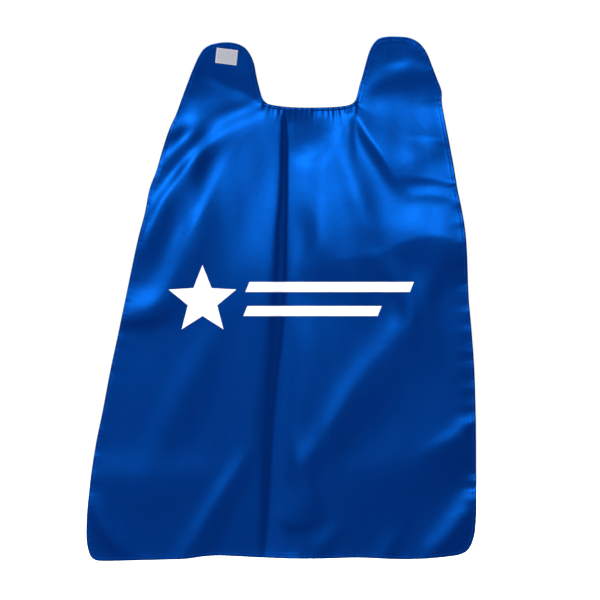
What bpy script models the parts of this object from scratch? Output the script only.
"""Child's satin superhero cape with two neck tabs that close with hook and loop.

Frame: metres, +Z up, decorated face towards -Y, wearer towards +Y. The origin is the nape point,
the middle of the neck binding's top edge. "Left" (-X) and "right" (+X) are as seen from the
decorated side.
The cloth is cut across at its fold lines, because each stretch of cloth is one rigid piece here:
neck tabs (two folds each) and the back panel (two sway lines).
Every layer is a slab of the same folded surface, trimmed by a flat pattern piece.
"""

import math

import bmesh
import bpy
from mathutils import Matrix, Vector

# ---------------------------------------------------------------- driving dimensions
MM = 0.001              # the tables below are in millimetres
HEM = 0.0060            # width of the turned hem
BINDING = 0.0045        # width of the neck binding
CLOTH_T = 0.0005        # satin, one layer
HEM_T = 0.0012          # satin, three layers
BINDING_T = 0.0024      # folded tape round the gathered edge
CASING_T = 0.0013       # slot inside the binding
CASING_TOP = 0.0008     # binding left above the slot
CASING_BOTTOM = 0.0006  # binding left below the slot
CASING_OVERRUN = 0.004  # slot runs past the binding's ends, so both are open
ELASTIC_T = 0.0007
ELASTIC_W = 0.0025
ELASTIC_TRIM = 0.0005   # elastic stops short of each end
THREAD_T = 0.0003
THREAD_W = 0.0007
THREAD_TRIM = 0.0004    # stitching stops short of each cut end
HEM_SEAM = HEM * 0.62           # edge of the cloth to the outer side of the hem stitching
BINDING_SEAM = BINDING * 0.86   # edge of the cloth to the inner side of the binding stitching
INK_T = 0.0002
GAP = 0.0003            # air between neighbouring solids

SWAY_1 = -0.172429      # height of the upper sway line
SWAY_2 = -0.386284      # height of the lower sway line
SWAY_GAP = 0.0045       # half the slit at a sway line
FOLD_GAP = 0.0026       # half the slit at a tab fold

GRID_X, GRID_Z = 0.016, 0.028       # facets of the folded surface
CUTTER_HALF_DEPTH = 0.060           # pattern cutters reach this far in front and behind

# ---------------------------------------------------------------- pattern tables
# Tab folds: (x, z) of the inner end and of the outer end, in millimetres
FOLDS = {
    "left_tab": ((-63.8875, 17.216), (-183.5925, -20.444)),
    "left_tip": ((-73.3025, 56.221), (-164.7625, 17.216)),
    "right_tab": ((64.56, 17.8885), (179.5575, -13.0465)),
    "right_tip": ((74.6475, 58.911), (171.4875, 21.251)),
}

# Pattern edge, clockwise from the nape: (x, z) key points in millimetres
OUTLINE = [
    # right half of the neck
    (10.76, 0), (29.59, 0.538), (47.075, 2.152), (56.49, 4.842), (61.87, 10.0875),
    (64.56, 18.83),
    # right tab: inner edge, tip, outer edge
    (67.25, 29.59), (71.285, 43.04), (75.589, 59.18), (80.0275, 73.975), (85.4075, 84.735),
    (92.805, 92.1325),
    (103.565, 94.688), (117.015, 94.957), (131.81, 93.612), (143.2425, 89.1735),
    (151.985, 81.3725),
    (158.71, 70.6125), (165.435, 53.8), (171.4875, 38.3325), (177.54, 22.1925),
    # right side
    (178.078, 6.725), (180.9025, -10.76), (186.955, -43.04), (193.0075, -76.665),
    (198.3875, -110.29), (204.44, -139.88), (208.8785, -169.47), (211.5685, -208.475),
    (213.586, -255.55), (217.2175, -297.245), (221.118, -349.7), (223.001, -403.5),
    (223.9425, -464.025), (224.346, -531.275), (223.27, -564.9),
    # right corner
    (219.9075, -582.385), (213.1825, -595.1625), (201.75, -601.484), (182.92, -604.443),
    # bottom
    (150.64, -607.133), (121.05, -607.671), (91.46, -606.595), (60.525, -605.6535),
    (16.14, -606.864), (-26.9, -606.864), (-73.975, -604.981), (-104.91, -603.367),
    (-123.74, -602.829), (-142.57, -603.905), (-166.78, -607.133), (-201.75, -608.478),
    (-248.825, -609.554),
    # left corner
    (-277.07, -610.092), (-288.5025, -608.478), (-295.2275, -601.8875),
    # left side
    (-299.397, -586.42), (-300.204, -564.9), (-297.9175, -531.275), (-293.21, -490.925),
    (-286.8885, -450.575), (-277.7425, -406.19), (-268.3275, -356.425), (-258.24, -309.35),
    (-248.556, -263.62), (-239.141, -217.89), (-229.726, -174.85), (-221.2525, -142.57),
    (-214.931, -110.29), (-205.516, -84.735), (-197.446, -56.49), (-189.376, -30.935),
    (-179.154, -8.07),
    # left tab: outer edge, tip, inner edge
    (-171.4875, 12.7775), (-164.09, 32.28), (-156.6925, 51.11), (-148.6225, 68.595),
    (-141.225, 78.6825),
    (-130.465, 84.466), (-112.98, 87.156), (-98.185, 85.542), (-86.7525, 79.893),
    (-79.086, 69.94), (-74.244, 57.835), (-71.285, 42.3675), (-67.25, 25.555),
    (-63.484, 13.45),
    # left half of the neck
    (-58.5075, 6.725), (-51.11, 3.766), (-32.28, 1.076), (-10.76, 0),
]
SAMPLES_PER_SPAN = 3
MIN_STEP = 17.485 * MM      # outline samples nearer than this are dropped
MAX_BEND = 0.16             # unless the outline turns by more than this, in radians

# Drape: (x0, z0, x1, z1, half width, height) of each fold in millimetres;
# a positive height stands towards -Y.
DRAPE = [
    # billow of the back
    (-45.73, -134.5, -83.39, -484.2, 121.05, 5),
    # middle crease
    (-29.59, -18.83, -29.59, -242.1, 18.83, -7),
    (-30.935, -242.1, -48.42, -443.85, 20.175, -7),
    (-48.42, -443.85, -57.835, -591.8, 18.83, -6),
    # right edge lifts
    (204.44, -40.35, 215.2, -161.4, 48.42, 5), (220.58, -201.75, 231.34, -443.85, 53.8, 6),
    # left neck ridges
    (-129.12, -10.76, -196.37, -72.63, 16.14, 5),
    (-118.36, -40.35, -209.82, -161.4, 17.485, 5),
    (-102.22, -59.18, -174.85, -201.75, 22.865, 3),
    # left side, below the neck ridges
    (-172.16, -215.2, -231.34, -277.07, 20.175, 4),
    (-220.58, -131.81, -244.79, -201.75, 26.9, 3),
    # right neck ridges
    (88.77, -18.83, 150.64, -80.7, 34.97, 5), (37.66, -48.42, 13.45, -188.3, 29.59, 3),
    # right shelf
    (51.11, -215.2, 121.05, -204.44, 48.42, 4), (123.74, -199.06, 217.89, -196.37, 53.8, 6),
    # long diagonal
    (112.98, -228.65, 139.88, -285.14, 25.555, 4), (123.74, -312.04, 5.38, -465.37, 25.555, 4),
    # lower right
    (51.11, -494.96, 220.58, -459.99, 43.04, 4), (244.79, -497.65, 156.02, -605.25, 18.83, 5),
    # lower left
    (-75.32, -454.61, -166.78, -607.94, 17.485, 3),
    (-129.12, -295.9, -212.51, -478.82, 24.21, 2),
    (-295.9, -500.34, -126.43, -489.58, 34.97, 2),
    (-293.21, -529.93, -242.1, -605.25, 17.485, 3),
    # bottom middle
    (-24.21, -556.83, 2.69, -559.52, 20.175, 2),
]
CALM_START, CALM_SPAN = 0.00538, 0.03497    # drape fades in over this stretch below the nape
SWAY_CALM, SWAY_SPREAD = 0.75, 0.030        # share of the drape lost at a sway line, and its reach
SLOPE_STEP = 0.004                          # step for measuring the slope of the drape

# ---------------------------------------------------------------- scene
for old in list(bpy.data.objects):
    bpy.data.objects.remove(old, do_unlink=True)
cape = bpy.data.collections.new("superhero_cape")
cutters = bpy.data.collections.new("pattern_cutters")
for collection in (cape, cutters):
    bpy.context.scene.collection.children.link(collection)
cutters.hide_render = True

cape_frame = bpy.data.objects.new("cape_frame", None)
cape.objects.link(cape_frame)


def finish(name, colour, roughness):
    material = bpy.data.materials.new(name)
    material.use_nodes = True
    shader = material.node_tree.nodes["Principled BSDF"]
    shader.inputs["Base Color"].default_value = (*colour, 1.0)
    shader.inputs["Roughness"].default_value = roughness
    shader.inputs["Metallic"].default_value = 0.0
    material.diffuse_color = (*colour, 1.0)
    return material


MATERIALS = {
    "satin": finish("satin", colour=(0.001, 0.060, 0.420), roughness=0.38),
    "binding": finish("binding_satin", colour=(0.001, 0.050, 0.370), roughness=0.42),
    "thread": finish("polyester_thread", colour=(0.002, 0.075, 0.480), roughness=0.50),
    "hook_tape": finish("hook_tape", colour=(0.62, 0.61, 0.66), roughness=0.75),
    "loop_tape": finish("loop_tape", colour=(0.66, 0.65, 0.68), roughness=0.85),
    "tape_thread": finish("tape_thread", colour=(0.78, 0.78, 0.82), roughness=0.60),
    "elastic": finish("braided_elastic", colour=(0.80, 0.80, 0.80), roughness=0.70),
    "label": finish("label_satin", colour=(0.85, 0.85, 0.85), roughness=0.45),
    "print": finish("print_film", colour=(0.88, 0.88, 0.88), roughness=0.45),
}


# ---------------------------------------------------------------- flat pattern
def spline(points, per_span):
    """Closed Catmull-Rom curve through the points, per_span samples for each span.
    The closing span, across the nape, stays one straight line."""
    samples = []
    count = len(points)
    for i in range(count):
        before, start, end, after = (Vector(points[(i + k - 1) % count]) for k in range(4))
        for step in range(per_span if i < count - 1 else 1):
            t = step / per_span
            samples.append(
                0.5 * ((2 * start) + (end - before) * t
                       + (2 * before - 5 * start + 4 * end - after) * t * t
                       + (3 * start - before - 3 * end + after) * t ** 3)
            )
    return samples


def thinned(points, least, bend):
    """Drops samples nearer than least to the last one kept that bend by no more than bend."""
    kept = [points[0]]
    for i in range(1, len(points)):
        here = points[i]
        step = here - kept[-1]
        turn = step.angle_signed(points[(i + 1) % len(points)] - here)
        if step.length >= least or abs(turn) > bend or i == len(points) - 1:
            kept.append(here)
    return kept


def inset(points, distance):
    """The closed outline moved into the cloth by distance; the outline runs clockwise."""
    moved = []
    count = len(points)
    for i in range(count):
        here = points[i]
        arriving = (here - points[i - 1]).normalized()
        leaving = (points[(i + 1) % count] - here).normalized()
        arriving_inward = Vector((arriving.y, -arriving.x))
        leaving_inward = Vector((leaving.y, -leaving.x))
        mitre = (arriving_inward + leaving_inward).normalized()
        moved.append(here + mitre * distance / max(0.5, mitre.dot(arriving_inward)))
    return moved


def clip(poly, line):
    """The part of the polygon on the positive side of a line (a, b, c): a*x + b*z >= c."""
    a, b, c = line
    kept = []
    for i, here in enumerate(poly):
        last = poly[i - 1]
        last_depth = a * last.x + b * last.y - c
        depth = a * here.x + b * here.y - c
        if (last_depth >= 0) != (depth >= 0):
            kept.append(last + (here - last) * (last_depth / (last_depth - depth)))
        if depth >= 0:
            kept.append(here)
    return kept


def fold_line(name):
    """(a, b, c) of a tab fold, positive above it, on the tab's side."""
    (x0, z0), (x1, z1) = FOLDS[name]
    along = Vector((x1 - x0, z1 - z0)).normalized()
    a, b = (along.y, -along.x) if along.x < 0 else (-along.y, along.x)
    return a, b, (a * x0 + b * z0) * MM


def above(line):
    a, b, c = line
    return a, b, c + FOLD_GAP


def below(line):
    a, b, c = line
    return -a, -b, -c + FOLD_GAP


# Each region of the cloth is the part on the positive side of all its lines
LEFT, RIGHT = (-1, 0, 0), (1, 0, 0)
FOLD_LINES = {name: fold_line(name) for name in FOLDS}
REGIONS = {
    "yoke": [below(FOLD_LINES["left_tab"]), below(FOLD_LINES["right_tab"]),
             (0, 1, SWAY_1 + SWAY_GAP)],
    "middle": [(0, -1, -SWAY_1 + SWAY_GAP), (0, 1, SWAY_2 + SWAY_GAP)],
    "lower": [(0, -1, -SWAY_2 + SWAY_GAP)],
    "left_tab": [LEFT, above(FOLD_LINES["left_tab"]), below(FOLD_LINES["left_tip"])],
    "left_tip": [LEFT, above(FOLD_LINES["left_tip"])],
    "right_tab": [RIGHT, above(FOLD_LINES["right_tab"]), below(FOLD_LINES["right_tip"])],
    "right_tip": [RIGHT, above(FOLD_LINES["right_tip"])],
}

edge = thinned([point * MM for point in spline(OUTLINE, SAMPLES_PER_SPAN)], MIN_STEP, MAX_BEND)

# Stretches of the edge, as x ranges
EVERYWHERE = (-math.inf, math.inf)
ON_LEFT, ON_RIGHT = (-math.inf, 0), (0, math.inf)
LEFT_SPLIT, RIGHT_SPLIT = -0.12105, 0.127775    # between inner and outer edge of a tab
OUTER_LEFT, INNER_LEFT = (-math.inf, LEFT_SPLIT), (LEFT_SPLIT, 0)
INNER_RIGHT, OUTER_RIGHT = (0, RIGHT_SPLIT), (RIGHT_SPLIT, math.inf)
AT_NECK = (-0.09415, 0.09415)

# Yoke edge that faces the binding, not a hem: half width and lowest height
BOUND_HALF, BOUND_LOW = 0.0679225, -0.015


def run_of(region, x_range):
    """Indices of one region's outline samples within x_range, with one more at each end."""
    low, high = x_range
    inside = [all(a * p.x + b * p.y >= c for a, b, c in REGIONS[region]) and low <= p.x < high
              for p in edge]
    count = len(edge)
    i = next(k for k in range(count) if inside[k] and not inside[k - 1])
    run = [i - 1]
    while inside[i % count]:
        run.append(i % count)
        i += 1
    return run + [i % count]


def strip(region, outer, inner, x_range, trim=0.0):
    """Pattern piece between two insets of the outline, along one run of one region.
    A positive trim shortens its ends."""
    run = run_of(region, x_range)
    outer_edge, inner_edge = inset(edge, outer), inset(edge, inner)
    poly = [outer_edge[i] for i in run] + [inner_edge[i] for i in reversed(run)]
    for a, b, c in REGIONS[region]:
        poly = clip(poly, (a, b, c + trim))
    return poly


def cloth_piece(region):
    poly = inset(edge, HEM + GAP)
    if region == "yoke":  # the neck edge is held by the narrower binding
        narrow = inset(edge, BINDING + GAP)
        poly = [narrow[i] if edge[i].y > BOUND_LOW and abs(edge[i].x) < BOUND_HALF else point
                for i, point in enumerate(poly)]
    for line in REGIONS[region]:
        poly = clip(poly, line)
    return poly


# ---------------------------------------------------------------- folded surface
def smooth(t):
    t = min(1.0, max(0.0, t))
    return t * t * (3 - 2 * t)


def drape(x, z):
    """How far the cloth stands towards -Y at (x, z), in metres."""
    place = Vector((x, z))
    total = 0.0
    for x0, z0, x1, z1, half_width, height in DRAPE:
        start, along = Vector((x0, z0)) * MM, Vector((x1 - x0, z1 - z0)) * MM
        t = (place - start).dot(along) / along.length_squared
        nearest = start + along * min(1.0, max(0.0, t))
        reach = (place - nearest).length / (half_width * MM)
        total += height * MM * math.exp(-reach * reach)
    calm = smooth((-z - CALM_START) / CALM_SPAN)          # flat tabs and neckline
    for level in (SWAY_1, SWAY_2):                        # shallow at the sway lines
        calm *= 1 - SWAY_CALM * math.exp(-(((z - level) / SWAY_SPREAD) ** 2))
    return total * calm


def normal_at(x, z):
    step = SLOPE_STEP
    slope_x = (drape(x + step, z) - drape(x - step, z)) / (2 * step)
    slope_z = (drape(x, z + step) - drape(x, z - step)) / (2 * step)
    return Vector((-slope_x, -1.0, -slope_z)).normalized()


def make_helper(obj):
    """Moves an object among the cutters, out of the render."""
    for collection in obj.users_collection:
        collection.objects.unlink(obj)
    cutters.objects.link(obj)
    obj.hide_render = True
    obj.display_type = "WIRE"


def combine(obj, name, operation, other):
    modifier = obj.modifiers.new(name, "BOOLEAN")
    modifier.operation = operation
    modifier.solver = "EXACT"
    modifier.object = other


def cutter(name, poly):
    """Prism of a flat pattern piece, standing in the XZ plane."""
    curve = bpy.data.curves.new(name + "_pattern", "CURVE")
    curve.dimensions = "2D"
    curve.fill_mode = "BOTH"
    curve.extrude = CUTTER_HALF_DEPTH
    line = curve.splines.new("POLY")
    line.points.add(len(poly) - 1)
    for point, place in zip(line.points, poly):
        point.co = (place.x, place.y, 0, 1)
    line.use_cyclic_u = True
    flat = bpy.data.objects.new(name + "_flat", curve)
    cutters.objects.link(flat)
    flat.rotation_euler = (math.pi / 2, 0, 0)
    bpy.context.view_layer.update()
    graph = bpy.context.evaluated_depsgraph_get()
    mesh = bpy.data.meshes.new_from_object(flat.evaluated_get(graph))
    prism = bmesh.new()
    prism.from_mesh(mesh)
    bmesh.ops.remove_doubles(prism, verts=prism.verts, dist=0.00001)
    bmesh.ops.recalc_face_normals(prism, faces=prism.faces)
    prism.to_mesh(mesh)
    prism.free()
    solid = bpy.data.objects.new(name + "_cutter", mesh)
    solid.matrix_world = flat.matrix_world
    make_helper(solid)
    bpy.data.objects.remove(flat)
    return solid


def grid_range(values, pitch):
    """First and last grid index that cover the values, with a facet to spare."""
    return (math.floor(min(values) / pitch - 0.5) - 1, math.ceil(max(values) / pitch - 0.5) + 1)


def slab(name, poly, thickness, lift, material):
    """One layer of the folded surface, trimmed to the pattern piece.
    A positive lift moves it along its normal, towards the decorated side."""
    i0, i1 = grid_range([p.x for p in poly], GRID_X)
    j0, j1 = grid_range([p.y for p in poly], GRID_Z)
    sheet = bmesh.new()
    bmesh.ops.create_grid(sheet, x_segments=i1 - i0, y_segments=j1 - j0, size=0.5)
    for v in sheet.verts:
        x = (i0 + 0.5 + (v.co.x + 0.5) * (i1 - i0)) * GRID_X
        z = (j0 + 0.5 + (v.co.y + 0.5) * (j1 - j0)) * GRID_Z
        v.co = Vector((x, -drape(x, z), z)) + normal_at(x, z) * lift
    bmesh.ops.triangulate(sheet, faces=sheet.faces, quad_method="FIXED")
    for face in sheet.faces:
        if face.normal.y > 0:
            face.normal_flip()
    mesh = bpy.data.meshes.new(name)
    sheet.to_mesh(mesh)
    sheet.free()
    obj = bpy.data.objects.new(name, mesh)
    cape.objects.link(obj)
    mesh.materials.append(MATERIALS[material])
    obj.parent = cape_frame
    body = obj.modifiers.new("layer", "SOLIDIFY")
    body.thickness = thickness
    body.offset = 0.0
    combine(obj, "pattern", "INTERSECT", cutter(name, poly))
    mesh.shade_smooth()
    mesh.set_sharp_from_angle(angle=math.radians(40))
    return obj


def lift_over(base_t, layer_t):
    """Lift of a layer that lies over a base layer, with the air gap between them."""
    return base_t / 2 + GAP + layer_t / 2


# ---------------------------------------------------------------- cloth and hems
for region in REGIONS:
    slab(region + "_panel", cloth_piece(region), CLOTH_T, 0.0, "satin")

HEMS = [  # name, region, stretch of its edge
    ("yoke_left_hem", "yoke", OUTER_LEFT),
    ("yoke_right_hem", "yoke", OUTER_RIGHT),
    ("middle_left_hem", "middle", ON_LEFT),
    ("middle_right_hem", "middle", ON_RIGHT),
    ("lower_hem", "lower", EVERYWHERE),
    ("left_tab_outer_hem", "left_tab", OUTER_LEFT),
    ("left_tab_inner_hem", "left_tab", INNER_LEFT),
    ("left_tip_hem", "left_tip", EVERYWHERE),
    ("right_tab_outer_hem", "right_tab", OUTER_RIGHT),
    ("right_tab_inner_hem", "right_tab", INNER_RIGHT),
    ("right_tip_hem", "right_tip", EVERYWHERE),
]
for name, region, x_range in HEMS:
    slab(name, strip(region, 0, HEM, x_range), HEM_T, 0.0, "satin")
    slab(name + "_thread",
         strip(region, HEM_SEAM, HEM_SEAM + THREAD_W, x_range, THREAD_TRIM),
         THREAD_T, lift_over(HEM_T, THREAD_T), "thread")

# ---------------------------------------------------------------- neck binding
# a sleeve open at both ends, with the elastic inside
binding = slab("neck_binding", strip("yoke", 0, BINDING, AT_NECK), BINDING_T, 0.0, "binding")
slot = slab("neck_casing_slot",
            strip("yoke", CASING_TOP, BINDING - CASING_BOTTOM, AT_NECK, -CASING_OVERRUN),
            CASING_T, 0.0, "binding")
make_helper(slot)
combine(binding, "casing", "DIFFERENCE", slot)

slab("neck_elastic",
     strip("yoke", (BINDING - ELASTIC_W) / 2, (BINDING + ELASTIC_W) / 2, AT_NECK, ELASTIC_TRIM),
     ELASTIC_T, 0.0, "elastic")
slab("neck_binding_thread",
     strip("yoke", BINDING_SEAM - THREAD_W, BINDING_SEAM, AT_NECK, THREAD_TRIM),
     THREAD_T, lift_over(BINDING_T, THREAD_T), "thread")

# ---------------------------------------------------------------- hook and loop patches
PATCH_L, PATCH_W = 0.0290, 0.0205   # hook and loop tape, cut from 20 mm stock
TAPE_T = 0.0006                     # woven ground of the tape
FIELD_T = 0.0012                    # hooks or loops standing on it
FIELD_MARGIN = 0.0020               # bare border of the ground
STITCH_OUTER = 0.0006               # patch edge to the outer side of the stitching
STITCH_INNER = 0.0013               # patch edge to its inner side


def patch(name, x, z, tilt, face, tape):
    """A tape patch over the turned hem, with its field standing from it.
    face is -1 in front, +1 behind."""

    def box(part, margin, thickness, distance, material):
        """A plate smaller than the patch by margin all round, centred distance off the cloth."""
        bpy.ops.mesh.primitive_cube_add(size=1)
        obj = bpy.context.object
        for collection in obj.users_collection:
            collection.objects.unlink(obj)
        cape.objects.link(obj)
        obj.name = name + part
        obj.data.name = name + part
        size = (PATCH_L - 2 * margin, thickness, PATCH_W - 2 * margin)
        obj.data.transform(Matrix.Diagonal((*size, 1)))
        obj.location = (x, face * distance, z)
        obj.rotation_euler = (0, tilt, 0)
        obj.data.materials.append(MATERIALS[material])
        obj.parent = cape_frame
        return obj

    field_t = TAPE_T + FIELD_T
    ground = box("", 0.0, TAPE_T, lift_over(HEM_T, TAPE_T), tape)
    field = box("_field", FIELD_MARGIN, field_t, lift_over(HEM_T, field_t), tape)
    make_helper(field)
    combine(ground, "field", "UNION", field)

    # one round of stitching on the bare border of the ground
    distance = HEM_T / 2 + GAP + TAPE_T + GAP + THREAD_T / 2
    stitching = box("_thread", STITCH_OUTER, THREAD_T, distance, "tape_thread")
    window = box("_thread_window", STITCH_INNER, THREAD_T * 4, distance, "tape_thread")
    make_helper(window)
    combine(stitching, "window", "DIFFERENCE", window)


patch("hook_patch", x=-0.111366, z=0.068057, tilt=math.radians(7.0), face=-1, tape="hook_tape")
patch("loop_patch", x=0.1136525, z=0.073975, tilt=math.radians(-2.1), face=1, tape="loop_tape")


# ---------------------------------------------------------------- care label
# hangs behind the nape, just below the binding
LABEL_W, LABEL_H, LABEL_T = 0.022, 0.030, 0.0004
LABEL_TOP = -BINDING - 0.0012


def bar(x_left, x_right, z_middle, half_height, lean):
    """Four-sided piece whose top edge is shifted to the right by lean."""
    low, high = z_middle - half_height, z_middle + half_height
    return [Vector((x_left, low)), Vector((x_right, low)),
            Vector((x_right + lean, high)), Vector((x_left + lean, high))]


slab("care_label", bar(-LABEL_W / 2, LABEL_W / 2, LABEL_TOP - LABEL_H / 2, LABEL_H / 2, lean=0.0),
     LABEL_T, -lift_over(CLOTH_T, LABEL_T), "label")

# ---------------------------------------------------------------- print: a star and two bars
STAR_X, STAR_Z = -0.143646, -0.259585
STAR_TIP_R, STAR_NOTCH_R = 0.0477475, 0.020713
STAR_POINTS = 5
BAR_HALF, BAR_LEAN = 0.006725, 0.00538


def star():
    corners = []
    for k in range(STAR_POINTS * 2):
        radius = STAR_TIP_R if k % 2 == 0 else STAR_NOTCH_R
        angle = math.pi / 2 + k * math.pi / STAR_POINTS
        corners.append(Vector((STAR_X + radius * math.cos(angle),
                               STAR_Z + radius * math.sin(angle))))
    return corners


PRINTS = {
    "print_star": star(),
    "print_upper_bar": bar(-0.08608, 0.1345, -0.2414275, BAR_HALF, BAR_LEAN),
    "print_lower_bar": bar(-0.08877, 0.09146, -0.2737075, BAR_HALF, BAR_LEAN),
}
for name, poly in PRINTS.items():
    slab(name, poly, INK_T, lift_over(CLOTH_T, INK_T), "print")
